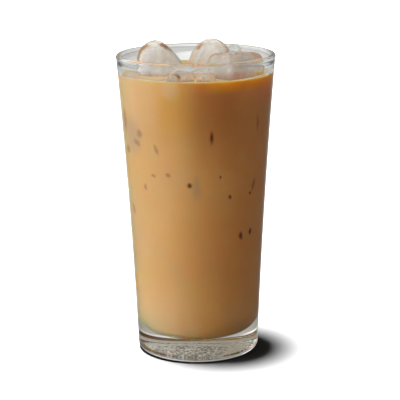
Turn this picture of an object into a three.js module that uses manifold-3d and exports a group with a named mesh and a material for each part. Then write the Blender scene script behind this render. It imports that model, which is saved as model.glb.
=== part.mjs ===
// Iced mocha: a tapered clear tumbler full of milky coffee, with half-melted ice cubes that stand out of it.
// Millimetres, +Z up. The origin is the centre of the foot, on the surface that the tumbler stands on.
import * as THREE from 'three';
import { mergeVertices } from 'three/addons/utils/BufferGeometryUtils.js';
import Module from 'manifold-3d';

const wasm = await Module();
wasm.setup();

// The tumbler's driving sizes: its outer wall leans out, and leans further out towards the rim. Its inner wall
// swells inwards towards the hollow's floor
const GLASS_HEIGHT = 160;
const FOOT_RADIUS = 32.3;
const WALL_SLOPE = 0.0368;
const WALL_FLARE = 0.0001394;
const RIM_WALL = 2.4;
const RIM_BEAD_RADIUS = 1.45;
const LOW_WALL = 3.3;
const BASE_THICKNESS = 10.4;
const SWELL = 14;
const SWELL_HEIGHT = 50;
const HEEL_RADIUS = 3.6;
const PUNT_RADIUS = 22;
const PUNT_DEPTH = 2;

// The drink's driving sizes: a flat surface that climbs the wall in a meniscus
const DRINK_LEVEL = 149.4;
const MENISCUS_RISE = 1.5;
const MENISCUS_WIDTH = 4;
const CLEARANCE = 0.3;

// How finely round shapes are stepped
const RING_STEPS = 72;
const WALL_STEPS = 5;
const ARC_STEPS = 5;
const SWELL_STEPS = 7;
const LIP_STEPS = 8;
const PUNT_STEPS = 4;
const ICE_STEPS = 7;

// Each ice cube's box, middle and turn in degrees, how square it is (2 is an egg, 8 nearly a box), how much
// its top is narrower than its middle, and the phase of its melted dents
const ICE_CUBES = [
  {
    name: 'ice_left', size: [23.3, 22, 29], middle: [-19.1, -4, 153.3],
    turn: [3, -27, 12], squareness: 2.9, taper: 0.23, phase: 0.4,
  },
  {
    name: 'ice_middle', size: [25.5, 19, 27.4], middle: [8.1, 9.5, 153],
    turn: [-4, 4, -20], squareness: 2.4, taper: 0.25, phase: 2.1,
  },
  {
    name: 'ice_right', size: [32, 20, 23], middle: [20.4, -13.3, 151.1],
    turn: [-5, 0, 52], squareness: 5.2, taper: 0.04, phase: 3.7,
  },
  {
    name: 'ice_front', size: [14.5, 12, 21.5], middle: [-8.2, -27.4, 147.8],
    turn: [8, 22, -8], squareness: 3.2, taper: 0.08, phase: 5.2,
  },
  {
    name: 'ice_chip', size: [10.5, 8, 13], middle: [5.2, -30.6, 149.3],
    turn: [-12, 10, 20], squareness: 2.8, taper: 0.1, phase: 0.9,
  },
  {
    name: 'ice_back', size: [10.3, 11, 22], middle: [20.1, 25, 150.3],
    turn: [-6, 5, 35], squareness: 2.8, taper: 0.1, phase: 1.3,
  },
];
const DENT_DEPTH = 0.35;
const DENT_WAVES = [0.31, 0.27, 0.22];

const GLASS_FINISH = { color: 0xe9eeea, roughness: 0.03, metalness: 0, transparent: true, opacity: 0.3 };
const DRINK_FINISH = { color: 0xc09060, roughness: 0.25, metalness: 0 };
const ICE_FINISH = { color: 0xe3e0d8, roughness: 0.12, metalness: 0, transparent: true, opacity: 0.6 };

const outerRadius = (z) => FOOT_RADIUS + WALL_SLOPE * z + WALL_FLARE * z * z;

// The wall thins evenly from the base to the rim, apart from its swelling, which fades out in an elliptic curve
function innerRadius(z) {
  const share = (z - BASE_THICKNESS) / (GLASS_HEIGHT - BASE_THICKNESS);
  const below = Math.max(0, 1 - (z - BASE_THICKNESS) / SWELL_HEIGHT);
  const swell = SWELL * (1 - Math.sqrt(Math.max(0, 1 - below * below)));
  return outerRadius(z) - THREE.MathUtils.lerp(LOW_WALL, RIM_WALL, share) - swell;
}

// Points of an arc in the outline's plane, from one angle to the other, in degrees
function arc(centreR, centreZ, radius, fromDeg, toDeg, steps) {
  const points = [];
  for (let i = 0; i <= steps; i++) {
    const angle = THREE.MathUtils.degToRad(THREE.MathUtils.lerp(fromDeg, toDeg, i / steps));
    points.push(new THREE.Vector2(centreR + radius * Math.cos(angle), centreZ + radius * Math.sin(angle)));
  }
  return points;
}

// Points up or down a wall, both ends included
function wall(radiusAt, fromZ, toZ, steps) {
  const points = [];
  for (let i = 0; i <= steps; i++) {
    const z = THREE.MathUtils.lerp(fromZ, toZ, i / steps);
    points.push(new THREE.Vector2(radiusAt(z), z));
  }
  return points;
}

// The swelling wall's inside, from the edge of the flat floor up to where the wall is thin, drawn in by a gap
function swellingWall(gap) {
  const points = [];
  for (let i = 0; i <= SWELL_STEPS; i++) {
    const rise = 1 - Math.cos((Math.PI / 2) * (i / SWELL_STEPS));
    const z = BASE_THICKNESS + SWELL_HEIGHT * rise;
    points.push(new THREE.Vector2(innerRadius(z) - gap, z + gap));
  }
  return points;
}

// Turns an outline of radius and height about the Z axis
function turned(outline) {
  const geometry = new THREE.LatheGeometry(outline, RING_STEPS);
  geometry.rotateX(Math.PI / 2);
  return geometry;
}

// A closed solid with its shared corners merged and its empty triangles dropped
function solid(geometry) {
  const bare = geometry.clone();
  bare.deleteAttribute('normal');
  bare.deleteAttribute('uv');
  const merged = mergeVertices(bare, 1e-4);
  const corners = merged.index.array;
  const kept = [];
  for (let i = 0; i < corners.length; i += 3) {
    const [a, b, c] = [corners[i], corners[i + 1], corners[i + 2]];
    if (a !== b && b !== c && c !== a) kept.push(a, b, c);
  }
  const mesh = new wasm.Mesh({
    numProp: 3,
    vertProperties: new Float32Array(merged.attributes.position.array),
    triVerts: new Uint32Array(kept),
  });
  return new wasm.Manifold(mesh);
}

// A joined or cut solid as three.js geometry
function geometryOf(manifold) {
  const mesh = manifold.getMesh();
  const geometry = new THREE.BufferGeometry();
  geometry.setAttribute('position', new THREE.BufferAttribute(mesh.vertProperties, 3));
  geometry.setIndex(new THREE.BufferAttribute(mesh.triVerts, 1));
  geometry.computeVertexNormals();
  return geometry;
}

// Punt, bearing ring, rounded heel, leaning wall, fire-polished bead, inner wall and round floor.
// The bead is a little thicker than the wall, which meets it at a neck just under the rim
function glassOutline() {
  const beadTurn = Math.acos(RIM_WALL / 2 / RIM_BEAD_RADIUS);
  const beadZ = GLASS_HEIGHT - RIM_BEAD_RADIUS;
  const neckZ = beadZ - RIM_BEAD_RADIUS * Math.sin(beadTurn);
  const beadR = outerRadius(neckZ) - RIM_WALL / 2;
  const neckDeg = THREE.MathUtils.radToDeg(beadTurn);
  const heelR = outerRadius(HEEL_RADIUS) - HEEL_RADIUS;
  const punt = wall((z) => PUNT_RADIUS * Math.sqrt(1 - z / PUNT_DEPTH), PUNT_DEPTH, 0, PUNT_STEPS);
  return [
    ...punt,
    ...arc(heelR, HEEL_RADIUS, HEEL_RADIUS, -90, 0, ARC_STEPS),
    ...wall(outerRadius, HEEL_RADIUS, neckZ, WALL_STEPS).slice(1),
    ...arc(beadR, beadZ, RIM_BEAD_RADIUS, -neckDeg, 180 + neckDeg, LIP_STEPS).slice(1),
    ...wall(innerRadius, neckZ, BASE_THICKNESS + SWELL_HEIGHT, WALL_STEPS).slice(1),
    ...swellingWall(0).reverse().slice(1),
    new THREE.Vector2(0, BASE_THICKNESS),
  ];
}

// The drink fills the hollow, a hair inside its wall, and climbs the wall in a falling curve
function drinkOutline() {
  const skinRadius = (z) => innerRadius(z) - CLEARANCE;
  const thinZ = BASE_THICKNESS + SWELL_HEIGHT + CLEARANCE;
  const contactZ = DRINK_LEVEL + MENISCUS_RISE;
  const meniscus = [];
  for (let i = 1; i <= ARC_STEPS; i++) {
    const share = i / ARC_STEPS;
    const radius = skinRadius(contactZ) - MENISCUS_WIDTH * share;
    meniscus.push(new THREE.Vector2(radius, DRINK_LEVEL + MENISCUS_RISE * (1 - share) ** 2));
  }
  return [
    new THREE.Vector2(0, BASE_THICKNESS + CLEARANCE),
    ...swellingWall(CLEARANCE),
    ...wall(skinRadius, thinZ, contactZ, WALL_STEPS).slice(1),
    ...meniscus,
    new THREE.Vector2(0, DRINK_LEVEL),
  ];
}

// How deep the melted dents are at a point of a cube, from 0 to 2
function dentAt({ x, y, z }, phase) {
  const [waveX, waveY, waveZ] = DENT_WAVES;
  return 1 + Math.sin(waveX * x + phase) * Math.sin(waveY * y + 2 * phase) * Math.cos(waveZ * z + phase);
}

// A cube pulled towards an egg, narrower at its top, with shallow melted dents, and grown all round by a gap
function iceGeometry({ size, squareness, taper, phase }, gap) {
  const geometry = new THREE.BoxGeometry(2, 2, 2, ICE_STEPS, ICE_STEPS, ICE_STEPS);
  const corner = geometry.attributes.position;
  const [across, deep, high] = size.map((length) => length / 2);
  const point = new THREE.Vector3();
  for (let i = 0; i < corner.count; i++) {
    point.fromBufferAttribute(corner, i);
    const powers = point.toArray().map((part) => Math.abs(part) ** squareness);
    point.divideScalar((powers[0] + powers[1] + powers[2]) ** (1 / squareness));
    const narrowing = 1 - taper * point.z;
    const melted = new THREE.Vector3(across * narrowing, deep * narrowing, high).multiply(point);
    melted.addScaledVector(point.normalize(), gap - DENT_DEPTH * dentAt(melted, phase));
    corner.setXYZ(i, melted.x, melted.y, melted.z);
  }
  return geometry;
}

function finish(values) {
  return new THREE.MeshStandardMaterial(values);
}

function iceMesh(cube) {
  const mesh = new THREE.Mesh(geometryOf(solid(iceGeometry(cube, 0))), finish(ICE_FINISH));
  mesh.name = cube.name;
  mesh.position.set(...cube.middle);
  mesh.rotation.set(...cube.turn.map(THREE.MathUtils.degToRad));
  mesh.updateMatrix();
  return mesh;
}

// The drink is cut round each cube, with the clearance left all round it
function drinkMesh(iceMeshes) {
  let body = solid(turned(drinkOutline()));
  ICE_CUBES.forEach((cube, i) => {
    const hole = iceGeometry(cube, CLEARANCE).applyMatrix4(iceMeshes[i].matrix);
    body = body.subtract(solid(hole));
  });
  const mesh = new THREE.Mesh(geometryOf(body), finish(DRINK_FINISH));
  mesh.name = 'drink';
  return mesh;
}

function glassMesh() {
  const mesh = new THREE.Mesh(geometryOf(solid(turned(glassOutline()))), finish(GLASS_FINISH));
  mesh.name = 'glass';
  return mesh;
}

const icedMocha = new THREE.Group();
const iceMeshes = ICE_CUBES.map(iceMesh);
icedMocha.add(glassMesh(), drinkMesh(iceMeshes), ...iceMeshes);

export default icedMocha;
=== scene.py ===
"""An iced mocha in its tumbler, dressed for a studio picture: clear glass, milky coffee and melting ice.

Places are in metres, +Z up, with the tumbler's axis as Z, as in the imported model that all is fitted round.
An angle round the tumbler is 0 at its front (-Y) and grows towards its right (+X).
"""

from __future__ import annotations

import logging
import math
from collections.abc import Iterable, Iterator
from contextlib import contextmanager
from dataclasses import dataclass, field
from enum import Enum
from functools import partial, reduce
from typing import Any

import bpy
import numpy as np
from mathutils import Euler, Matrix, Vector, noise
from mathutils.bvhtree import BVHTree

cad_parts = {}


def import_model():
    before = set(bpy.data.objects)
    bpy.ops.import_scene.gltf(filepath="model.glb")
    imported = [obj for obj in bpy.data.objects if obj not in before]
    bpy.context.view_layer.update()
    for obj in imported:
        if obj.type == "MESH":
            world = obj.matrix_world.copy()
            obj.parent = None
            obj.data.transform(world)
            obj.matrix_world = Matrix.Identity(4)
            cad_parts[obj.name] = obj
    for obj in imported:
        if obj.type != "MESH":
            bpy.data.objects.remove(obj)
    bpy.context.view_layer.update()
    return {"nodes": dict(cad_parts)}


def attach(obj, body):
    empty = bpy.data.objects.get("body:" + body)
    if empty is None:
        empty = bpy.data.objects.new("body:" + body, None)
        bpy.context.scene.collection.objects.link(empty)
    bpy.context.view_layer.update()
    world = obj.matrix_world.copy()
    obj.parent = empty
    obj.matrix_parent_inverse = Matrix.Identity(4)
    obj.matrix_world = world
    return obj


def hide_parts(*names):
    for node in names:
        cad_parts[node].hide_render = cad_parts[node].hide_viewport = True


MM = 0.001
BODY = "root"
SEGMENTS = 256

Colour = tuple[float, float, float]
Place = tuple[float, float, float]
Span = tuple[float, float]
# Where an even change starts and ends, and the two numbers that it goes between
Ease = tuple[float, float, float, float]
Piece = bpy.types.Object
Socket = bpy.types.NodeSocket

WHITE: Colour = (1.0, 1.0, 1.0)
# Painted glow: the orange of light shining through coffee where it thins against the glass
THIN_COFFEE_PAINTED_GLOW: Colour = (0.850, 0.480, 0.020)

log = logging.getLogger("iced mocha")


class Slot(Enum):
    """The record's material slots."""

    GLASS = "glass"
    DRINK = "drink"
    ICE = "ice"


# Work in edit mode and on modifiers, as by hand


def deselect() -> None:
    """Leaves nothing selected."""
    bpy.ops.object.select_all(action="DESELECT")


def pick(piece: Piece) -> None:
    """Selects one piece alone and makes it the active one.

    Args:
        piece: the object to work on.
    """
    deselect()
    piece.select_set(True)
    bpy.context.view_layer.objects.active = piece


def put(name: str, data: bpy.types.ID) -> Piece:
    """Puts a new object in the scene.

    Args:
        name: its name.
        data: its mesh, camera or light.

    Returns:
        The object.
    """
    piece = bpy.data.objects.new(name, data)
    bpy.context.scene.collection.objects.link(piece)
    return piece


@contextmanager
def editing(piece: Piece) -> Iterator[None]:
    """Opens a piece in edit mode with all of it selected, and closes it again.

    Args:
        piece: the mesh object to edit.
    """
    pick(piece)
    bpy.ops.object.mode_set(mode="EDIT")
    bpy.ops.mesh.select_all(action="SELECT")
    try:
        yield
    finally:
        bpy.ops.object.mode_set(mode="OBJECT")


def apply_modifier(piece: Piece, kind: str, **settings: Any) -> None:
    """Adds a modifier, sets it up and applies it.

    Args:
        piece: the mesh object that it changes.
        kind: the modifier's type.
        settings: its properties and their values.
    """
    pick(piece)
    bpy.ops.object.modifier_add(type=kind)
    modifier = piece.modifiers[-1]
    for name, value in settings.items():
        setattr(modifier, name, value)
    bpy.ops.object.modifier_apply(modifier=modifier.name)


def keep_place_in_mesh(piece: Piece) -> None:
    """Moves a piece's place, turn and scale into its mesh, so that its object sits at the origin."""
    pick(piece)
    bpy.ops.object.transform_apply(location=True, rotation=True, scale=True)


def smooth(piece: Piece) -> None:
    """Shades a piece smooth."""
    pick(piece)
    bpy.ops.object.shade_smooth()


def corners_of(piece: Piece) -> np.ndarray:
    """Reads the places of a mesh's vertices.

    Args:
        piece: the mesh object.

    Returns:
        One row of x, y and z for each vertex.
    """
    places = np.empty(len(piece.data.vertices) * 3)
    piece.data.vertices.foreach_get("co", places)
    return places.reshape(-1, 3)


def move_corners(piece: Piece, places: np.ndarray) -> None:
    """Writes the places of a mesh's vertices, one row of x, y and z for each."""
    piece.data.vertices.foreach_set("co", places.ravel())
    piece.data.update()


def join(pieces: list[Piece], name: str) -> Piece:
    """Joins several pieces into one.

    Args:
        pieces: the mesh objects.
        name: the joined piece's name.

    Returns:
        The joined piece.
    """
    deselect()
    for piece in pieces:
        piece.select_set(True)
    bpy.context.view_layer.objects.active = pieces[0]
    bpy.ops.object.join()
    pieces[0].name = name
    return pieces[0]


def round_the_axis(angle: float, radius: float, height: float) -> Vector:
    """Gives the point at an angle round the tumbler, a distance from its axis and a height."""
    turn = math.radians(angle)
    return Vector((radius * math.sin(turn), -radius * math.cos(turn), height))


def arc(middle: Span, radius: float, turns: Iterable[float]) -> list[Span]:
    """Draws part of a circle, at angles that are counted upwards from straight out, in radians."""
    return [(middle[0] + radius * math.cos(turn), middle[1] + radius * math.sin(turn)) for turn in turns]


def spun(name: str, outline: list[Span]) -> Piece:
    """Draws an outline by extruding one vertex from point to point, and spins it round the Z axis.

    Args:
        name: the new piece's name.
        outline: the points, each a distance from the axis and a height. The first and last lie on the axis.

    Returns:
        The closed, smooth piece, with its normals pointing out.
    """
    points = [Vector((x, 0, z)) for x, z in outline]
    deselect()
    bpy.ops.mesh.primitive_plane_add(size=MM, location=points[0])
    piece = bpy.context.object
    piece.name = name
    keep_place_in_mesh(piece)
    with editing(piece):
        bpy.ops.mesh.merge(type="CENTER")
        for start, end in zip(points, points[1:]):
            bpy.ops.mesh.extrude_region_move(TRANSFORM_OT_translate={"value": end - start})
        bpy.ops.mesh.select_all(action="SELECT")
        bpy.ops.mesh.spin(steps=SEGMENTS, angle=2 * math.pi, center=(0, 0, 0), axis=(0, 0, 1))
        bpy.ops.mesh.select_all(action="SELECT")
        bpy.ops.mesh.remove_doubles(threshold=0.004 * MM)
        bpy.ops.mesh.normals_make_consistent(inside=False)
    smooth(piece)
    return piece


class NodeSheet:
    """A material's or world's nodes, with short ways to add them and wire them."""

    def __init__(self, tree: bpy.types.NodeTree) -> None:
        """Takes a node tree and empties it."""
        self.tree = tree
        tree.nodes.clear()

    def add(self, kind: str, inputs: dict[str | int, Any] | None = None, **settings: Any) -> bpy.types.Node:
        """Adds a node.

        Args:
            kind: the node's type.
            inputs: what each input gets, a value or another node's output.
            settings: the node's own properties.

        Returns:
            The node.
        """
        node = self.tree.nodes.new(kind)
        for name, value in settings.items():
            setattr(node, name, value)
        for name, value in (inputs or {}).items():
            if isinstance(value, Socket):
                self.tree.links.new(value, node.inputs[name])
            else:
                node.inputs[name].default_value = value
        return node

    def maths(self, operation: str, *values: Any) -> Socket:
        """Works out a number from one or more numbers, and returns its socket."""
        return self.add("ShaderNodeMath", dict(enumerate(values)), operation=operation).outputs[0]

    def product(self, *factors: Any) -> Socket:
        """Multiplies numbers, and returns the product's socket."""
        return reduce(partial(self.maths, "MULTIPLY"), factors)

    def rest(self, share: Any) -> Socket:
        """What a share leaves of 1."""
        return self.maths("SUBTRACT", 1.0, share)

    def vector(self, operation: str, *values: Any) -> Socket:
        """Works out a vector from vectors, and returns its socket."""
        return self.add("ShaderNodeVectorMath", dict(enumerate(values)), operation=operation).outputs[0]

    def scaled(self, vector: Any, factor: float) -> Socket:
        """Makes a vector longer or shorter, and returns its socket."""
        return self.add("ShaderNodeVectorMath", {0: vector, "Scale": factor}, operation="SCALE").outputs[0]

    def length(self, vector: Any) -> Socket:
        """Measures a vector, and returns its length's socket."""
        return self.add("ShaderNodeVectorMath", {0: vector}, operation="LENGTH").outputs["Value"]

    def split(self, vector: Any) -> bpy.types.NodeOutputs:
        """Gives a vector's X, Y and Z sockets."""
        return self.add("ShaderNodeSeparateXYZ", {0: vector}).outputs

    def ramp(self, value: Any, start: float, end: float, low: float = 0.0, high: float = 1.0) -> Socket:
        """Eases from one number to another while a value goes from start to end.

        Args:
            value: the value's socket.
            start: the value that gives low.
            end: the value that gives high.
            low: the first number.
            high: the second number.

        Returns:
            The eased number's socket.
        """
        inputs = {"Value": value, "From Min": start, "From Max": end, "To Min": low, "To Max": high}
        return self.add("ShaderNodeMapRange", inputs, interpolation_type="SMOOTHSTEP").outputs["Result"]

    def blend(self, share: Any, first: Any, second: Any, mode: str = "MIX") -> Socket:
        """Mixes two colours.

        Args:
            share: the second colour's share, a number or a socket.
            first: the first colour.
            second: the second colour.
            mode: how they mix.

        Returns:
            The mixed colour's socket.
        """
        mix = self.add("ShaderNodeMix", data_type="RGBA", blend_type=mode)
        for socket, value in ((mix.inputs[0], share), (mix.inputs[6], first), (mix.inputs[7], second)):
            if isinstance(value, Socket):
                self.tree.links.new(value, socket)
            else:
                socket.default_value = (*value, 1.0) if isinstance(value, tuple) else value
        return mix.outputs[2]

    def noise(self, place: Any, scale: float, detail: float = 2.0, roughness: float = 0.5) -> Socket:
        """Gives cloudy noise from 0 to 1, with a scale of so many waves in a metre."""
        inputs = {"Vector": place, "Scale": scale, "Detail": detail, "Roughness": roughness}
        return self.add("ShaderNodeTexNoise", inputs).outputs[0]

    def place(self) -> Socket:
        """The point on the object, in the object's own metres."""
        return self.add("ShaderNodeTexCoord").outputs["Object"]

    def wander(self, place: Any, waves: float) -> Socket:
        """Gives a cloudy vector, each part from 0 to 1, with so many waves in a metre."""
        return self.add("ShaderNodeTexNoise", {"Vector": place, "Scale": waves}).outputs["Color"]

    def bump(self, height: Any, strength: float, depth: float) -> Socket:
        """Tilts the surface as shallow relief of this height does, and returns the normal's socket."""
        inputs = {"Height": height, "Strength": strength, "Distance": depth}
        return self.add("ShaderNodeBump", inputs).outputs[0]

    def principled(self, inputs: dict[str, Any]) -> None:
        """Gives the material its shader, with its inputs set."""
        self.surface(self.add("ShaderNodeBsdfPrincipled", inputs))

    def surface(self, shader: bpy.types.Node) -> None:
        """Wires a shader to the surface output."""
        output = self.add("ShaderNodeOutputMaterial")
        self.tree.links.new(shader.outputs[0], output.inputs["Surface"])


def new_material(name: str) -> tuple[bpy.types.Material, NodeSheet]:
    """Makes an empty material.

    Args:
        name: the material's name.

    Returns:
        The material and its sheet of nodes.
    """
    material = bpy.data.materials.new(name)
    material.use_nodes = True
    return material, NodeSheet(material.node_tree)


# Finishes


@dataclass(frozen=True)
class ClearGlass:
    """Colourless pressed glass, a little uneven from its mould, with a stipple in the punt.

    The stipple blurs the light, and lets what lies under the tumbler show between its pits.
    """

    tint: Colour = (0.97, 0.985, 0.975)
    bending: float = 1.5
    frost: float = 0.16
    frost_below: Span = (2.8 * MM, 2.6 * MM)
    frost_within: Span = (19.5 * MM, 18.5 * MM)
    pit_waves: float = 700.0
    pits: Ease = (0.40, 0.60, 0.35, 1.0)
    pits_middle: Place = (-4 * MM, -7 * MM, 0.0)
    pits_within: Span = (18 * MM, 12 * MM)
    round_pits: Ease = (0.0, 1.0, 0.80, 0.0)
    mould_waves: float = 90.0
    mould_bump: float = 0.03

    def material(self) -> bpy.types.Material:
        """Makes the glass material."""
        material, sheet = new_material("clear_glass")
        place = sheet.place()
        flat = sheet.vector("MULTIPLY", place, (1.0, 1.0, 0.0))
        low = sheet.ramp(sheet.split(place)["Z"], *self.frost_below)
        stippled = sheet.product(low, sheet.ramp(sheet.length(flat), *self.frost_within))
        pitted = sheet.ramp(sheet.length(sheet.vector("SUBTRACT", flat, self.pits_middle)), *self.pits_within)
        pits = sheet.ramp(sheet.noise(place, self.pit_waves, detail=1.0), *self.pits)
        between = sheet.maths("ADD", sheet.product(pitted, pits), sheet.ramp(pitted, *self.round_pits))
        sheet.principled({
            "Base Color": (*self.tint, 1.0),
            "Roughness": sheet.product(stippled, self.frost),
            "IOR": self.bending,
            "Transmission Weight": 1.0,
            "Alpha": sheet.rest(sheet.product(stippled, between)),
            "Normal": sheet.bump(sheet.noise(place, self.mould_waves, detail=1.0), self.mould_bump, MM),
        })
        return material


class Mark(Enum):
    """What a patch seen on the drink's side is, with its colour and how strongly it shows."""

    # Painted shade: dark brown where clear ice corners at the wall show the shadowed drink behind them
    CORNER = ((0.240, 0.075, 0.018), 0.90)
    GRAZE = ((0.340, 0.150, 0.050), 0.55)
    VEIL = ((0.480, 0.370, 0.220), 0.40)
    MILK = ((0.840, 0.640, 0.330), 0.55)

    def __init__(self, colour: Colour, strength: float) -> None:
        """Keeps the patch's colour, and how much of the coffee's own colour it covers."""
        self.colour = colour
        self.strength = strength


@dataclass(frozen=True)
class Patch:
    """Where sunken ice touches the wall, or nearly does, and shows through the coffee.

    Attributes:
        mark: what it looks like.
        angle: degrees round the tumbler from its front, towards its right.
        height: millimetres above the table.
        across: its width in millimetres along the wall.
        along: its length in millimetres up the wall.
        lean: degrees that its top leans towards the tumbler's left.
    """

    mark: Mark
    angle: float
    height: float
    across: float
    along: float
    lean: float = 0.0

    def turned(self) -> Euler:
        """The turn that lays a piece on the wall: its X runs along the wall, its Y into it and its Z up."""
        facing = Matrix.Rotation(math.radians(self.angle), 3, "Z")
        leaning = Matrix.Rotation(-math.radians(self.lean), 3, "Y")
        return (facing @ leaning).to_euler()


@dataclass(frozen=True)
class PaintedLight:
    """Painted light or shade: a tone laid over a part of the drink's side where light or shade falls.

    Attributes:
        colour: the tone.
        height: how it comes in, up the side.
        across: how it comes in and goes out, from left to right.
        mode: how it mixes with the colour under it.
    """

    colour: Colour
    height: Ease
    across: tuple[Ease, ...] = ()
    mode: str = "MIX"

    def lay(self, sheet: NodeSheet, parts: bpy.types.NodeOutputs, under: Socket) -> Socket:
        """Lays the painted light or shade over a colour.

        Args:
            sheet: the material's nodes.
            parts: the X, Y and Z of the point.
            under: the colour under it.

        Returns:
            The new colour's socket.
        """
        share = sheet.ramp(parts["Z"], *self.height)
        share = sheet.product(share, *(sheet.ramp(parts["X"], *ease) for ease in self.across))
        return sheet.blend(share, under, self.colour, mode=self.mode)


@dataclass(frozen=True)
class MilkyCoffee:
    """Coffee with milk and chocolate: paler swirls, redder where light has come a long way through it, with
    light, shade, glow and a highlight painted on its side and top.
    """

    body: Colour = (0.800, 0.500, 0.175)
    swirl: Colour = (0.820, 0.555, 0.225)
    top_body: Colour = (0.830, 0.500, 0.230)
    top_swirl: Colour = (0.840, 0.560, 0.290)
    # Painted light: the coffee made brighter and redder towards the bottom, most on the left
    painted_light_low: PaintedLight = PaintedLight((0.930, 0.585, 0.218), (54 * MM, 14 * MM, 0.0, 1.0), ((34 * MM, 0.0, 0.0, 1.0),))
    # Painted shade: a darker tone multiplied over the upper side, from the middle to the right
    deep: PaintedLight = PaintedLight((0.78, 0.64, 0.56), (98 * MM, 137 * MM, 0.15, 1.0),
                      ((-12 * MM, 5 * MM, 0.0, 1.0), (29 * MM, 14 * MM, 0.3, 1.0)), "MULTIPLY")
    # Painted glow: a more golden tone multiplied high on the side, a little left of the middle
    painted_golden_glow: PaintedLight = PaintedLight((1.0, 0.965, 0.74), (114 * MM, 133 * MM, 0.0, 1.0),
                        ((-23 * MM, -15 * MM, 0.0, 1.0), (8 * MM, -6 * MM, 0.0, 1.0)), "MULTIPLY")
    # Painted glow: orange just under the rim line on the right, as light shines through the thin coffee there
    edge: PaintedLight = PaintedLight(THIN_COFFEE_PAINTED_GLOW, (143.5 * MM, 148.5 * MM, 0.0, 1.0), ((-4 * MM, 16 * MM, 0.0, 0.95),))
    # Painted highlight: a pale line along the top of the meniscus
    lip: PaintedLight = PaintedLight((0.830, 0.600, 0.330), (149.9 * MM, 150.7 * MM, 0.0, 0.8))
    # Painted glow: the open top turns orange near the wall at the front right
    glow_place: Place = (8 * MM, -35 * MM, 150 * MM)
    glow: Ease = (7 * MM, 2.1 * MM, 0.0, 0.9)
    reach: float = 7.5 * MM
    reach_by_colour: Colour = (1.0, 0.42, 0.16)
    bending: float = 1.35
    side_gloss: Span = (0.35, 0.12)
    top_gloss: Span = (0.08, 0.5)
    fold_waves: float = 30.0
    fold: float = 0.06
    streak_stretch: Place = (1.0, 1.0, 0.45)
    streak_waves: float = 45.0
    streaks: Ease = (0.40, 0.75, 0.0, 0.8)
    ragged_waves: float = 500.0
    ragged: float = 1.6 * MM
    patch_edge: Span = (1.5, 0.35)

    def side(self, patches: list[Patch], skin_radius: dict[Patch, float]) -> bpy.types.Material:
        """Makes the finish of the drink where it meets the glass, with painted light, shade, glow and
        highlight.

        Args:
            patches: where sunken ice shows through.
            skin_radius: how far from the axis the drink's skin is at each patch.

        Returns:
            The material.
        """
        material, sheet = new_material("milky_coffee_side")
        place = sheet.place()
        parts = sheet.split(place)
        colour = self.swirled(sheet, place, self.body, self.swirl)
        # Painted light and shade: brighter low left, shade high right, glow under the rim, a highlight at the
        # level
        for painted_tone in (self.painted_light_low, self.deep, self.painted_golden_glow, self.edge, self.lip):
            colour = painted_tone.lay(sheet, parts, colour)
        ragged = sheet.vector("SUBTRACT", sheet.wander(place, self.ragged_waves), (0.5, 0.5, 0.5))
        place = sheet.vector("ADD", place, sheet.scaled(ragged, self.ragged))
        for patch in patches:
            centre = round_the_axis(patch.angle, skin_radius[patch], patch.height * MM)
            radii = (0.5 * patch.across * MM, 0.5 * patch.across * MM + MM, 0.5 * patch.along * MM)
            inputs = {"Vector": place, "Location": centre, "Rotation": patch.turned(), "Scale": radii}
            local = sheet.add("ShaderNodeMapping", inputs, vector_type="TEXTURE").outputs[0]
            cover = sheet.ramp(sheet.length(local), *self.patch_edge, 0.0, patch.mark.strength)
            colour = sheet.blend(cover, colour, patch.mark.colour)
        self.finish_off(sheet, colour, *self.side_gloss)
        return material

    def top(self) -> bpy.types.Material:
        """Makes the finish of the drink's wet, open surface, with a painted glow near the wall."""
        material, sheet = new_material("milky_coffee_top")
        place = sheet.place()
        colour = self.swirled(sheet, place, self.top_body, self.top_swirl)
        # Painted glow near the wall, in the orange of light through thin coffee
        away = sheet.length(sheet.vector("SUBTRACT", place, self.glow_place))
        colour = sheet.blend(sheet.ramp(away, *self.glow), colour, THIN_COFFEE_PAINTED_GLOW)
        self.finish_off(sheet, colour, *self.top_gloss)
        return material

    def swirled(self, sheet: NodeSheet, place: Any, body: Colour, swirl: Colour) -> Socket:
        """Mixes the coffee's colour, with slow folds of milk that sink through it.

        Args:
            sheet: the material's nodes.
            place: the point on the drink.
            body: the coffee's colour.
            swirl: the folds' colour.

        Returns:
            The colour's socket.
        """
        bent = sheet.vector("ADD", place, sheet.scaled(sheet.noise(place, self.fold_waves), self.fold))
        tall = sheet.vector("MULTIPLY", bent, self.streak_stretch)
        streak = sheet.noise(tall, self.streak_waves, detail=2.0, roughness=0.4)
        return sheet.blend(sheet.ramp(streak, *self.streaks), body, swirl)

    def finish_off(self, sheet: NodeSheet, colour: Socket, roughness: float, shine: float) -> None:
        """Adds the shader that lets light some way into the drink.

        Args:
            sheet: the material's nodes.
            colour: the drink's colour.
            roughness: how blurred its reflections are.
            shine: its specular level.
        """
        sheet.principled({
            "Base Color": colour,
            "Roughness": roughness,
            "IOR": self.bending,
            "Specular IOR Level": shine,
            "Subsurface Weight": 1.0,
            "Subsurface Radius": self.reach_by_colour,
            "Subsurface Scale": self.reach,
        })


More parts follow.
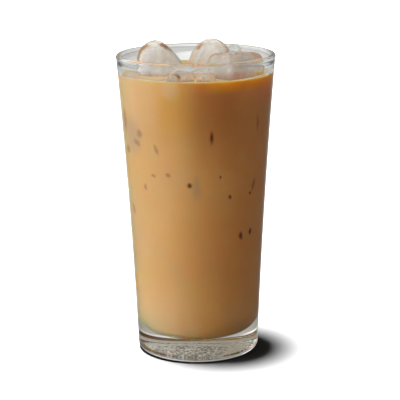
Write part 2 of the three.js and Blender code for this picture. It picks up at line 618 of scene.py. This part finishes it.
@dataclass(frozen=True)
class WetIce:
    """Melting ice: clear at its edges, milky with tiny bubbles inside, with films of coffee on it."""

    clear: Colour = (0.92, 0.93, 0.87)
    film: Colour = (0.30, 0.145, 0.045)
    film_cover: float = 0.8
    bending: float = 1.31
    reach: float = 2.5 * MM
    cloud_stretch: Place = (0.6, 1.0, 0.35)
    cloud_waves: float = 190.0
    haze: Ease = (0.35, 0.70, 0.02, 0.12)
    milk: Ease = (0.35, 0.65, 0.72, 1.0)
    clear_edge: Ease = (0.45, 0.90, 1.0, 0.5)
    see_through: Ease = (0.0, 1.0, 0.90, 0.25)
    cloud_veil: Ease = (0.3, 0.7, 1.0, 0.6)
    edge_veil: Ease = (0.55, 0.95, 1.0, 0.2)
    crack_waves: float = 90.0
    crack_bend: float = 0.012
    crack_cells: float = 150.0
    crack: Ease = (0.035, 0.0, 0.0, 0.45)
    ripple_waves: float = 330.0
    ripple_bump: float = 0.16
    ripple_depth: float = 0.3 * MM

    def material(self) -> bpy.types.Material:
        """Makes the ice material, which reads the mesh's attributes film and milk."""
        material, sheet = new_material("wet_ice")
        place = sheet.place()
        film, milk = (sheet.add("ShaderNodeAttribute", attribute_name=name).outputs["Fac"]
                      for name in ("film", "milk"))
        streaked = sheet.vector("MULTIPLY", place, self.cloud_stretch)
        clouds = sheet.noise(streaked, self.cloud_waves, detail=3.0, roughness=0.6)
        askew = sheet.add("ShaderNodeLayerWeight", {"Blend": 0.5}).outputs["Facing"]
        cracks = self.cracks(sheet, place)
        straight = sheet.product(
            sheet.ramp(milk, *self.see_through), sheet.ramp(clouds, *self.cloud_veil),
            sheet.ramp(askew, *self.edge_veil), sheet.rest(film), sheet.rest(cracks))
        milk = sheet.product(milk, sheet.ramp(clouds, *self.milk), sheet.ramp(askew, *self.clear_edge))
        milk = sheet.maths("MAXIMUM", milk, cracks)
        hidden = sheet.product(film, self.film_cover)
        sheet.principled({
            "Base Color": sheet.blend(film, self.clear, self.film),
            "Roughness": sheet.ramp(clouds, *self.haze),
            "IOR": self.bending,
            "Transmission Weight": sheet.rest(sheet.maths("MAXIMUM", milk, hidden)),
            "Subsurface Weight": 1.0,
            "Subsurface Radius": (1.0, 1.0, 1.0),
            "Subsurface Scale": self.reach,
            "Normal": sheet.bump(sheet.noise(place, self.ripple_waves, detail=1.0), self.ripple_bump,
                                 self.ripple_depth),
            "Alpha": sheet.rest(straight),
        })
        return material

    def cracks(self, sheet: NodeSheet, place: Socket) -> Socket:
        """Draws the thin white cracks of ice that has met warm coffee.

        Args:
            sheet: the material's nodes.
            place: the point on the ice.

        Returns:
            How much of a crack there is, from 0 to a little.
        """
        drift = sheet.scaled(sheet.wander(place, self.crack_waves), self.crack_bend)
        cells = {"Vector": sheet.vector("ADD", place, drift), "Scale": self.crack_cells}
        line = sheet.add("ShaderNodeTexVoronoi", cells, feature="DISTANCE_TO_EDGE").outputs["Distance"]
        return sheet.ramp(line, *self.crack)


@dataclass(frozen=True)
class CloudyCore:
    """The white heart of an ice cube, full of tiny bubbles, thinning out in wisps."""

    white: Colour = (0.95, 0.95, 0.94)
    wisp_waves: float = 170.0
    wisps: Ease = (0.30, 0.70, 0.03, 0.6)
    roughness: float = 0.9
    shine: float = 0.1

    def material(self) -> bpy.types.Material:
        """Makes the core's material."""
        material, sheet = new_material("cloudy_core")
        sheet.principled({
            "Base Color": (*self.white, 1.0),
            "Roughness": self.roughness,
            "Specular IOR Level": self.shine,
            "Alpha": sheet.ramp(sheet.noise(sheet.place(), self.wisp_waves), *self.wisps),
        })
        return material


@dataclass(frozen=True)
class ShadedSunkenCorner:
    """An ice corner pressed to the wall, dark brown as painted shade of the shadowed drink seen through the
    clear ice.
    """

    # Painted shade: two dark browns stand for the shadowed drink seen through clear ice
    dark: Colour = (0.170, 0.045, 0.010)
    brown: Colour = (0.280, 0.100, 0.030)
    mottle_waves: float = 500.0
    mottle: Span = (0.35, 0.65)
    roughness: float = 0.3
    shine: float = 0.2

    def material(self) -> bpy.types.Material:
        """Makes the glossy material of the corners, dark with painted shade."""
        material, sheet = new_material("sunken_corner_painted_shade")
        mottle = sheet.ramp(sheet.noise(sheet.place(), self.mottle_waves), *self.mottle)
        sheet.principled({
            "Base Color": sheet.blend(mottle, self.dark, self.brown),
            "Roughness": self.roughness,
            "Specular IOR Level": self.shine,
        })
        return material


# The object's own pieces


@dataclass
class Tumbler:
    """The clear tumbler: a wall that leans out, more so towards the rim, over a thick base with a punt."""

    height: float = 160 * MM
    foot_radius: float = 32.3 * MM
    wall_slope: float = 0.0368
    wall_flare: float = 0.1394
    rim_wall: float = 2.4 * MM
    bead: float = 1.45 * MM
    low_wall: float = 3.3 * MM
    base: float = 10.4 * MM
    swell: float = 14 * MM
    swell_height: float = 50 * MM
    heel: float = 3.6 * MM
    punt_radius: float = 22 * MM
    punt_depth: float = 2 * MM
    stipple_radius: float = 19.5 * MM
    stipple_depth: float = 0.6 * MM
    stipple_width: float = 1.1 * MM
    stipple_cover: float = 0.2
    unevenness: float = 0.035 * MM
    uneven_width: float = 7 * MM
    uneven_stretch: float = 3.0
    punt_steps: int = 44
    ring_steps: int = 22
    heel_steps: int = 12
    wall_steps: int = 46
    rim_steps: int = 23
    inside_steps: int = 30
    swell_steps: int = 42
    floor_steps: int = 10
    finish: ClearGlass = ClearGlass()

    def outer_radius(self, height: float) -> float:
        """The outer wall's radius at a height."""
        return self.foot_radius + self.wall_slope * height + self.wall_flare * height**2

    def inner_radius(self, height: float) -> float:
        """Measures the hollow: the wall thins towards the rim and swells to the round floor.

        Args:
            height: where it is measured.

        Returns:
            The inner wall's radius.
        """
        share = (height - self.base) / (self.height - self.base)
        wall = self.low_wall + share * (self.rim_wall - self.low_wall)
        below = max(0.0, 1 - (height - self.base) / self.swell_height)
        return self.outer_radius(height) - wall - self.swell * (1 - math.sqrt(max(0.0, 1 - below**2)))

    def floor_line(self, spare: float, steps: int) -> list[Span]:
        """Draws the hollow's floor and the swelling wall's inside, from the axis to where the wall is thin.

        Args:
            spare: how far the line lies outside the hollow.
            steps: how many points the swelling has.

        Returns:
            The points of that part of an outline.
        """
        flat = self.inner_radius(self.base)
        floor = [(x, self.base - spare) for x in np.linspace(0, flat, self.floor_steps)[:-1]]
        turns = np.radians(np.linspace(0, 90, steps))
        heights = [self.base + self.swell_height * (1 - math.cos(turn)) for turn in turns]
        return floor + [(self.inner_radius(z) + spare, z - spare) for z in heights]

    def outline(self) -> list[Span]:
        """Draws the glass: punt, bearing ring, heel, outer wall, lip, inner wall, corner and floor."""
        lip_z = self.height - self.bead
        turn = math.acos(self.rim_wall / 2 / self.bead)
        neck_z = lip_z - self.bead * math.sin(turn)
        rim_x = self.outer_radius(neck_z) - self.rim_wall / 2
        heel_x = self.outer_radius(self.heel) - self.heel
        thin_z = self.base + self.swell_height
        across = np.linspace(0, self.punt_radius, self.punt_steps)
        punt = [(x, self.punt_depth * (1 - (x / self.punt_radius) ** 2)) for x in across]
        ring = [(x, 0.0) for x in np.linspace(self.punt_radius, heel_x, self.ring_steps)[1:-1]]
        heel = arc((heel_x, self.heel), self.heel, np.radians(np.linspace(-90, 0, self.heel_steps)))
        wall = [(self.outer_radius(z), z) for z in np.linspace(self.heel, neck_z, self.wall_steps)[1:]]
        rim = arc((rim_x, lip_z), self.bead, np.linspace(-turn, math.pi + turn, self.rim_steps)[1:])
        inside = [(self.inner_radius(z), z) for z in np.linspace(neck_z, thin_z, self.inside_steps)[1:-1]]
        return punt + ring + heel + wall + rim + inside + self.floor_line(0, self.swell_steps)[::-1]

    def build(self) -> Piece:
        """Spins the outline, stipples the punt and leaves the inside a little uneven."""
        glass = spun("tumbler", self.outline())
        places = corners_of(glass)
        radius = np.hypot(places[:, 0], places[:, 1])
        self.stipple(places, radius)
        self.soften_inside(places, radius)
        move_corners(glass, places)
        glass.data.materials.append(self.finish.material())
        return glass

    def stipple(self, places: np.ndarray, radius: np.ndarray) -> None:
        """Presses small pits up into the punt.

        Args:
            places: the vertices, which are moved.
            radius: each vertex's distance from the axis.
        """
        under = (places[:, 2] < self.punt_depth) & (radius < self.stipple_radius)
        for index in np.flatnonzero(under):
            x, y, _ = places[index]
            pit = noise.noise(Vector((x, y, 0)) / self.stipple_width)
            places[index, 2] += self.stipple_depth * max(0.0, pit + self.stipple_cover)

    def soften_inside(self, places: np.ndarray, radius: np.ndarray) -> None:
        """Lets the inner wall wander by a few hundredths of a millimetre, as in pressed glass.

        Args:
            places: the vertices, which are moved.
            radius: each vertex's distance from the axis.
        """
        height = places[:, 2]
        inside = (radius > MM) & (radius < self.outer_radius(height) - self.rim_wall / 2)
        inside &= (height > self.base - 0.1 * MM) & (height < self.height - self.rim_wall)
        for index in np.flatnonzero(inside):
            x, y, z = places[index]
            drift = noise.noise(Vector((x, y, z / self.uneven_stretch)) / self.uneven_width)
            places[index, :2] *= 1 + self.unevenness * drift / radius[index]


@dataclass
class Ice:
    """One ice cube that stands out of the drink, melted to soft shapes, with a cloudy heart.

    Attributes:
        node: the CAD node that it replaces.
        milk: how milky it is inside, from 0 to 1.
        stain: how much coffee clings to it all over, from 0 to 1.
        films: where coffee clings to it: a point and how far the film spreads, in millimetres.
    """

    node: str
    milk: float
    stain: float = 0.0
    films: list[tuple[Place, float]] = field(default_factory=list)
    melt: float = 0.4 * MM
    melt_width: float = 7.0 * MM
    ripple: float = 0.12 * MM
    ripple_width: float = 2.2 * MM
    film_reach: float = 1.9
    film_fall: float = 1.2
    film_rag: float = 0.5
    film_rag_width: float = 1.6 * MM
    core_share: float = 0.62
    core_crumple: float = 0.12
    core_crumple_width: float = 3 * MM

    def build(self, source: Piece) -> Piece:
        """Smooths a copy of the CAD cube and melts dents and ripples into it.

        Args:
            source: the CAD node's object.

        Returns:
            The ice cube.
        """
        cube = put(f"{self.node}_melted", source.data.copy())
        cube.data.materials.clear()
        with editing(cube):
            bpy.ops.mesh.remove_doubles(threshold=0.01 * MM)
            bend = math.radians(60)
            bpy.ops.mesh.tris_convert_to_quads(face_threshold=bend, shape_threshold=bend)
            bpy.ops.mesh.normals_make_consistent(inside=False)
        apply_modifier(cube, "SUBSURF", levels=3, render_levels=3)
        self.dent(cube, self.melt_width, self.melt)
        self.dent(cube, self.ripple_width, self.ripple)
        smooth(cube)
        self.lay_films(cube)
        return cube

    def dent(self, cube: Piece, wave: float, depth: float) -> None:
        """Pushes the surface in and out by cloudy noise.

        Args:
            cube: the ice cube.
            wave: how wide a dent is.
            depth: how deep the dents are.
        """
        clouds = bpy.data.textures.new(f"{self.node}_{wave / MM:.0f}mm_dents", type="CLOUDS")
        clouds.noise_scale = wave
        apply_modifier(cube, "DISPLACE", texture=clouds, texture_coords="LOCAL", strength=depth,
                       mid_level=0.55)
        bpy.data.textures.remove(clouds)

    def lay_films(self, cube: Piece) -> None:
        """Writes how much coffee clings to each vertex, raggedly, and how milky it is, as attributes.

        Args:
            cube: the ice cube.
        """
        places = corners_of(cube)
        cover = np.full(len(places), self.stain)
        ragged = np.array([noise.noise(Vector(place) / self.film_rag_width) for place in places])
        for point, spread in self.films:
            nearest = places[np.argmin(np.linalg.norm(places - np.array(point) * MM, axis=1))]
            away = np.linalg.norm(places - nearest, axis=1) / (spread * MM)
            film = self.film_reach - self.film_fall * away + self.film_rag * ragged
            cover = np.maximum(cover, np.clip(film, 0, 1))
        for name, values in (("film", cover), ("milk", np.full(len(places), self.milk))):
            attribute = cube.data.attributes.new(name, "FLOAT", "POINT")
            attribute.data.foreach_set("value", values.astype(np.float32))

    def build_core(self, cube: Piece) -> Piece:
        """Makes the cloudy heart: the cube's own form, shrunk and crumpled.

        Args:
            cube: the finished ice cube.

        Returns:
            The core.
        """
        core = put(f"{self.node}_core", cube.data.copy())
        places = corners_of(core)
        middle = (places.min(0) + places.max(0)) / 2
        width = self.core_crumple_width
        crumple = np.array([noise.fractal(Vector(place) / width, 1.0, 2.0, 4) for place in places])
        share = self.core_share + self.core_crumple * crumple
        move_corners(core, middle + (places - middle) * share[:, None])
        core.data.materials.clear()
        core.data.materials.append(CloudyCore().material())
        return core


@dataclass
class Drink:
    """The milky coffee: it fills the tumbler to its level and climbs the wall and the ice."""

    tumbler: Tumbler
    level: float = 149.4 * MM
    rise: float = 1.5 * MM
    meniscus: float = 4 * MM
    meniscus_fall: float = 2.5
    ice_rise: float = 1.1 * MM
    ice_meniscus: float = 1.5 * MM
    into_glass: float = 0.1 * MM
    into_ice: float = 0.08 * MM
    swell_steps: int = 44
    side_steps: int = 44
    meniscus_steps: int = 14
    top_steps: int = 52
    finish: MilkyCoffee = MilkyCoffee()

    def skin_radius(self, height: float) -> float:
        """The radius of the drink's side, which reaches just into the glass."""
        return self.tumbler.inner_radius(height) + self.into_glass

    def outline(self) -> list[Span]:
        """Draws the drink: floor, corner, side, the falling curve of the meniscus and the level top."""
        contact = self.level + self.rise
        edge = self.skin_radius(contact)
        thin_z = self.tumbler.base + self.tumbler.swell_height
        floor = self.tumbler.floor_line(self.into_glass, self.swell_steps)
        side = [(self.skin_radius(z), z) for z in np.linspace(thin_z, contact, self.side_steps)[1:]]
        fall = [(edge - self.meniscus * share, self.level + self.rise * (1 - share) ** self.meniscus_fall)
                for share in np.linspace(0, 1, self.meniscus_steps)[1:]]
        level = [(x, self.level) for x in np.linspace(edge - self.meniscus, 0, self.top_steps)[1:]]
        return floor + side + fall + level

    def build(self, cubes: list[Piece], patches: list[Patch]) -> Piece:
        """Spins the drink, lifts it round the ice and cuts the ice's room out of it.

        Args:
            cubes: the finished ice cubes.
            patches: where sunken ice shows through its side.

        Returns:
            The drink.
        """
        drink = spun("milky_coffee", self.outline())
        self.climb(drink, cubes)
        skin = {patch: self.skin_radius(patch.height * MM) for patch in patches}
        drink.data.materials.append(self.finish.side(patches, skin))
        drink.data.materials.append(self.finish.top())
        self.dress_top(drink)
        for cube in cubes:
            self.cut_round(drink, cube)
        pick(drink)
        bpy.ops.object.shade_smooth_by_angle(angle=math.radians(50))
        return drink

    def on_top(self, places: np.ndarray) -> np.ndarray:
        """Tells which vertices belong to the open surface, its rim left out."""
        radius = np.hypot(places[:, 0], places[:, 1])
        return (places[:, 2] > self.level - 0.01 * MM) & (radius < self.skin_radius(self.level) - 0.2 * MM)

    def climb(self, drink: Piece, cubes: list[Piece]) -> None:
        """Lifts the surface where it meets the ice.

        Args:
            drink: the drink, which is changed.
            cubes: the ice cubes.
        """
        places = corners_of(drink)
        meshes = [cube.data for cube in cubes]
        trees = [BVHTree.FromPolygons([corner.co for corner in mesh.vertices],
                                      [face.vertices for face in mesh.polygons]) for mesh in meshes]
        for index in np.flatnonzero(self.on_top(places)):
            point = Vector(places[index])
            gap = min(tree.find_nearest(point)[3] for tree in trees)
            places[index, 2] += self.ice_rise * math.exp(-gap / self.ice_meniscus)
        move_corners(drink, places)

    def dress_top(self, drink: Piece) -> None:
        """Gives the faces of the open surface the wet finish.

        Args:
            drink: the drink.
        """
        for face in drink.data.polygons:
            if face.normal.z > 0.3 and face.center.z > self.level - MM:
                face.material_index = 1

    def cut_round(self, drink: Piece, cube: Piece) -> None:
        """Cuts one cube's room out of the drink, a hair smaller than the cube, so that no air shows.

        Args:
            drink: the drink, which is changed.
            cube: the ice cube.
        """
        cutter = put("cutter", cube.data.copy())
        cutter.data.materials.clear()
        apply_modifier(cutter, "DISPLACE", strength=-self.into_ice, mid_level=0.0)
        apply_modifier(drink, "BOOLEAN", operation="DIFFERENCE", solver="EXACT", object=cutter)
        bpy.data.objects.remove(cutter)


@dataclass
class SunkenIce:
    """Corners of the ice that lies under the surface, where they press against the wall."""

    drink: Drink
    depth: float = 1.2 * MM
    proud: float = 0.10 * MM
    core_share: float = 0.42
    finish: ShadedSunkenCorner = ShadedSunkenCorner()

    def build(self, patches: list[Patch]) -> Piece:
        """Makes one melted corner for each dark patch and joins them.

        Args:
            patches: the patches on the drink's side.

        Returns:
            The joined piece.
        """
        corners = [self.corner(patch) for patch in patches if patch.mark is Mark.CORNER]
        piece = join(corners, "sunken_ice_corners")
        piece.data.materials.append(self.finish.material())
        smooth(piece)
        return piece

    def corner(self, patch: Patch) -> Piece:
        """Models one corner: a cube, softened, stretched to the patch and laid in the drink's skin.

        Args:
            patch: where it touches the wall.

        Returns:
            The corner.
        """
        deselect()
        height = patch.height * MM
        reach = self.drink.skin_radius(height) + self.proud - self.depth
        bpy.ops.mesh.primitive_cube_add(size=2, location=round_the_axis(patch.angle, reach, height))
        piece = bpy.context.object
        piece.rotation_euler = patch.turned()
        wide, tall = (self.core_share * size * MM / 2 for size in (patch.across, patch.along))
        piece.scale = (wide, self.depth, tall)
        with editing(piece):
            bpy.ops.mesh.subdivide(number_cuts=3, smoothness=0.4)
            bpy.ops.transform.tosphere(value=0.8)
        keep_place_in_mesh(piece)
        return piece


@dataclass
class Studio:
    """The plain studio: a white floor under a high lamp, a wide soft light at the left, and the camera."""

    camera_away: float = 780.7 * MM
    camera_height: float = 269.6 * MM
    camera_right: float = 1.6 * MM
    camera_down: float = 13.58
    camera_roll: float = -0.5
    focal_mm: float = 135.2
    floor_radius: float = 6.0
    floor_grey: float = 0.02
    lamp_strength: float = 330.0
    lamp_softness: float = 13.5
    shadow_shift: Span = (15 * MM, -6 * MM)
    floor_bounce: float = 0.12
    glow_under_left: Colour = (0.56, 0.55, 0.48)
    glow_under_right: Colour = (0.36, 0.32, 0.25)
    glow_near_left: Colour = (0.48, 0.48, 0.44)
    glow_near_right: Colour = (0.42, 0.40, 0.33)
    glow_middle: Colour = (0.98, 0.98, 0.97)
    glow_aside: Colour = (0.64, 0.65, 0.63)
    turn_right: Span = (-0.8, 0.5)
    turn_near: Span = (1.0, 1.3)
    turn_aside: Span = (0.2, 1.8)
    turn_far: Span = (7.0, 14.0)
    key_rise: float = 22.0
    key_half_width: float = 33.0
    key_edge: float = 0.09
    warm_angle: float = -64.0
    warm_light: Colour = (4.6, 3.5, 1.65)
    cool_angle: float = -87.0
    cool_light: Colour = (1.4, 4.6, 10.8)
    fill_light: Colour = (0.49, 0.220, 0.066)
    open_key: Colour = (3.2, 3.2, 3.1)
    open_fill: Colour = (0.34, 0.33, 0.30)
    overhead: Ease = (0.5, 1.0, 0.0, 0.6)
    window_angle: float = -108.0
    window_through: float = 1.2
    mirrored_window: Ease = (0.0, 1.0, 0.13, 1.6)
    mirrored_sky: Ease = (0.45, 0.75, 0.0, 1.6)
    mirrored_behind: Ease = (0.8, 0.97, 0.0, 0.35)
    backdrop: Ease = (0.42, 0.12, 0.12, 0.62)
    backdrop_sides: Ease = (-0.3, 0.35, 0.8, 1.3)

    def set_camera(self) -> None:
        """Places the camera at the picture's height, distance and tilt."""
        lens = bpy.data.cameras.new("camera")
        lens.lens = self.focal_mm
        lens.sensor_width = 36.0
        camera = put("camera", lens)
        place = Matrix.Translation((self.camera_right, -self.camera_away, self.camera_height))
        tilt = Matrix.Rotation(math.radians(90 - self.camera_down), 4, "X")
        roll = Matrix.Rotation(math.radians(self.camera_roll), 4, "Z")
        camera.matrix_world = place @ tilt @ roll
        bpy.context.scene.camera = camera

    def lay_floor(self, tumbler: Tumbler) -> None:
        """Lays the floor, and hangs the lamp that lights it alone and throws the short shadow.

        Args:
            tumbler: the tumbler, whose height sets how far the shadow reaches.
        """
        deselect()
        bpy.ops.mesh.primitive_circle_add(vertices=96, radius=self.floor_radius, fill_type="NGON")
        floor = bpy.context.object
        floor.name = "studio_floor"
        material, sheet = new_material("studio_floor")
        ray = sheet.add("ShaderNodeLightPath").outputs
        bounced = (self.floor_grey * self.floor_bounce,) * 3
        grey = sheet.blend(ray["Is Camera Ray"], bounced, (self.floor_grey,) * 3)
        matt = sheet.add("ShaderNodeBsdfDiffuse", {"Color": grey}).outputs[0]
        glow = self.floor_glow(sheet, tumbler.foot_radius)
        glow = sheet.add("ShaderNodeEmission", {"Color": glow}).outputs[0]
        straight = sheet.maths("LESS_THAN", ray["Diffuse Depth"], 0.5)
        seen_through = sheet.product(straight, ray["Is Transmission Ray"])
        sheet.surface(sheet.add("ShaderNodeMixShader", {0: seen_through, 1: matt, 2: glow}))
        floor.data.materials.append(material)
        floor.visible_glossy = False
        shift_x, shift_y = self.shadow_shift
        beam = Vector((shift_x, shift_y, -tumbler.height))
        lamp = bpy.data.lights.new("high_lamp", "SUN")
        lamp.energy = self.lamp_strength
        lamp.angle = math.radians(self.lamp_softness)
        holder = put("high_lamp", lamp)
        holder.rotation_euler = beam.to_track_quat("-Z", "Y").to_euler()
        lit = bpy.data.collections.new("floor_alone")
        lit.objects.link(floor)
        holder.light_linking.receiver_collection = lit

    def floor_glow(self, sheet: NodeSheet, foot: float) -> Socket:
        """Mixes what the floor shows through the glass: darker under and near the tumbler, bright far behind.

        Args:
            sheet: the floor's nodes.
            foot: the tumbler's foot radius, which the changes are measured in.

        Returns:
            The colour's socket.
        """
        place = sheet.place()
        across = sheet.split(place)["X"]
        away = sheet.length(place)
        right, near, aside, far = (
            sheet.ramp(value, *(foot * edge for edge in span)) for value, span in (
                (across, self.turn_right), (away, self.turn_near),
                (sheet.maths("ABSOLUTE", across), self.turn_aside), (away, self.turn_far)))
        under = sheet.blend(right, self.glow_under_left, self.glow_under_right)
        round_it = sheet.blend(right, self.glow_near_left, self.glow_near_right)
        beyond = sheet.blend(aside, self.glow_middle, self.glow_aside)
        return sheet.blend(far, sheet.blend(near, under, round_it), beyond)

    def light_the_world(self) -> None:
        """Wraps the object in soft light: what it is lit by, and what shows in and through its glass."""
        world = bpy.data.worlds.new("studio")
        world.use_nodes = True
        bpy.context.scene.world = world
        bpy.context.scene.view_settings.view_transform = "Standard"
        sheet = NodeSheet(world.node_tree)
        ray = sheet.add("ShaderNodeLightPath").outputs
        toward = sheet.add("ShaderNodeTexCoord").outputs["Generated"]
        parts = sheet.split(toward)
        warm, cool, window = (self.soft_box(sheet, toward, angle)
                              for angle in (self.warm_angle, self.cool_angle, self.window_angle))
        behind_glass = sheet.blend(warm, self.fill_light, self.warm_light, mode="ADD")
        behind_glass = sheet.blend(cool, behind_glass, self.cool_light, mode="ADD")
        open_air = sheet.blend(warm, self.open_fill, self.open_key, mode="ADD")
        lighting = sheet.blend(ray["Is Transmission Ray"], open_air, behind_glass)
        lighting = sheet.blend(sheet.ramp(parts["Z"], *self.overhead), lighting, WHITE, mode="ADD")
        backdrop = sheet.ramp(parts["Z"], *self.backdrop)
        backdrop = sheet.product(backdrop, sheet.ramp(parts["X"], *self.backdrop_sides))
        backdrop = sheet.maths("ADD", backdrop, sheet.product(window, self.window_through))
        mirrored = sheet.ramp(window, *self.mirrored_window)
        mirrored = sheet.maths("ADD", mirrored, sheet.ramp(parts["Z"], *self.mirrored_sky))
        mirrored = sheet.maths("ADD", mirrored, sheet.ramp(parts["Y"], *self.mirrored_behind))
        inputs = {0: ray["Is Transmission Ray"], 2: mirrored, 3: backdrop}
        seen = sheet.add("ShaderNodeMix", inputs, data_type="FLOAT").outputs[0]
        by_glass = sheet.maths("MAXIMUM", ray["Is Glossy Ray"], ray["Is Transmission Ray"])
        straight = sheet.maths("LESS_THAN", ray["Diffuse Depth"], 0.5)
        value = sheet.blend(sheet.product(straight, by_glass), lighting, seen)
        value = sheet.blend(ray["Is Camera Ray"], value, WHITE)
        background = sheet.add("ShaderNodeBackground", {"Color": value})
        output = sheet.add("ShaderNodeOutputWorld")
        sheet.tree.links.new(background.outputs[0], output.inputs["Surface"])

    def soft_box(self, sheet: NodeSheet, toward: Socket, angle: float) -> Socket:
        """Marks off a round soft light in the world.

        Args:
            sheet: the world's nodes.
            toward: the direction that is looked in.
            angle: where the light's middle is, in degrees round the tumbler from its front.

        Returns:
            How much of the light shows, from 0 to 1.
        """
        rise = math.radians(self.key_rise)
        inputs = {0: toward, 1: round_the_axis(angle, math.cos(rise), math.sin(rise))}
        facing = sheet.add("ShaderNodeVectorMath", inputs, operation="DOT_PRODUCT").outputs["Value"]
        edge = math.cos(math.radians(self.key_half_width))
        return sheet.ramp(facing, edge - self.key_edge, edge + self.key_edge)


# Where sunken ice shows through the side, read round the tumbler from left to right:
# what it looks like, then its angle, height, width, length and, for some, lean
PATCHES = [
    Patch(Mark.GRAZE, -73, 128, 5.0, 11),
    Patch(Mark.VEIL, -60, 120, 12.0, 20),
    Patch(Mark.GRAZE, -51, 122, 4.0, 4.5, 10),
    Patch(Mark.GRAZE, -55, 117, 5.5, 3.0, -20),
    Patch(Mark.GRAZE, -71, 112, 5.0, 4.0),
    Patch(Mark.GRAZE, -34, 115, 2.0, 6.0, 20),
    Patch(Mark.GRAZE, -38, 101, 3.0, 1.6, -15),
    Patch(Mark.GRAZE, -48, 94, 2.2, 3.2),
    Patch(Mark.GRAZE, -24, 102, 2.4, 2.4),
    Patch(Mark.GRAZE, -70, 80, 3.0, 6.0, 25),
    Patch(Mark.MILK, -20, 147, 10.0, 10, -10),
    Patch(Mark.VEIL, 0, 96, 4.5, 12),
    Patch(Mark.CORNER, -6, 97, 2.6, 2.8, 20),
    Patch(Mark.CORNER, 12, 122, 2.0, 6.5),
    Patch(Mark.CORNER, 20, 101, 1.3, 1.5),
    Patch(Mark.CORNER, 29, 90, 1.7, 2.2, 10),
    Patch(Mark.GRAZE, 55, 94, 2.4, 7.0, -15),
    Patch(Mark.CORNER, 51, 90, 1.6, 1.8),
    Patch(Mark.GRAZE, 56, 127, 1.6, 10, 8),
    Patch(Mark.CORNER, 42, 68, 2.2, 4.6, 15),
    Patch(Mark.CORNER, 54, 69, 2.0, 3.4),
]

CUBES = [
    Ice("ice_left", milk=0.58, films=[
        ((-26.2, -8.5, 166.0), 1.3), ((-27.6, -8.5, 164.2), 1.6), ((-28.6, -8.5, 162.0), 1.8),
        ((-29.2, -9.0, 159.6), 1.6), ((-29.3, -9.5, 157.2), 1.3),
        ((-16.6, -9.0, 166.6), 1.4), ((-14.6, -9.0, 165.4), 1.6), ((-12.6, -8.0, 163.6), 0.9)]),
    Ice("ice_middle", milk=0.42, stain=0.15, films=[((-1.2, 4, 165.4), 1.4), ((1.0, 5, 166.4), 1.0)]),
    Ice("ice_right", milk=0.42, stain=0.24, films=[((6.5, -17.5, 161.0), 2.2), ((9.5, -17.5, 162.0), 1.6)]),
    Ice("ice_front", milk=0.4, films=[
        ((-10.8, -32.2, 154.6), 0.6), ((-10.1, -32.4, 154.0), 0.7), ((-9.4, -32.6, 153.4), 0.8),
        ((-8.7, -32.8, 152.8), 0.8), ((-8.0, -33.0, 152.2), 0.7)]),
    Ice("ice_chip", milk=0.35),
    Ice("ice_back", milk=0.15),
]


def dress(piece: Piece, slot: Slot, *nodes: str) -> None:
    """Ties a piece to the body, hides the CAD nodes that it replaces and logs how many triangles it has.

    Args:
        piece: the finished piece.
        slot: the record's material slot; not used.
        nodes: the CAD nodes that it replaces.
    """
    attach(piece, BODY)
    if nodes:
        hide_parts(*nodes)
    triangles = sum(len(face.vertices) - 2 for face in piece.data.polygons)
    log.info("%s: %d triangles", piece.name, triangles)


def main() -> None:
    """Builds the iced mocha and the studio round it."""
    logging.basicConfig(level=logging.INFO, format="%(name)s: %(message)s")
    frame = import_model()

    studio = Studio()
    studio.set_camera()

    tumbler = Tumbler()
    dress(tumbler.build(), Slot.GLASS, "glass")

    ice_finish = WetIce().material()
    melted = []
    for cube in CUBES:
        piece = cube.build(frame["nodes"][cube.node])
        core = cube.build_core(piece)
        piece.data.materials.append(ice_finish)
        dress(piece, Slot.ICE, cube.node)
        dress(core, Slot.ICE)
        melted.append(piece)

    drink = Drink(tumbler)
    dress(drink.build(melted, PATCHES), Slot.DRINK, "drink")
    dress(SunkenIce(drink).build(PATCHES), Slot.ICE)

    studio.lay_floor(tumbler)
    studio.light_the_world()


if __name__ == "__main__":
    main()
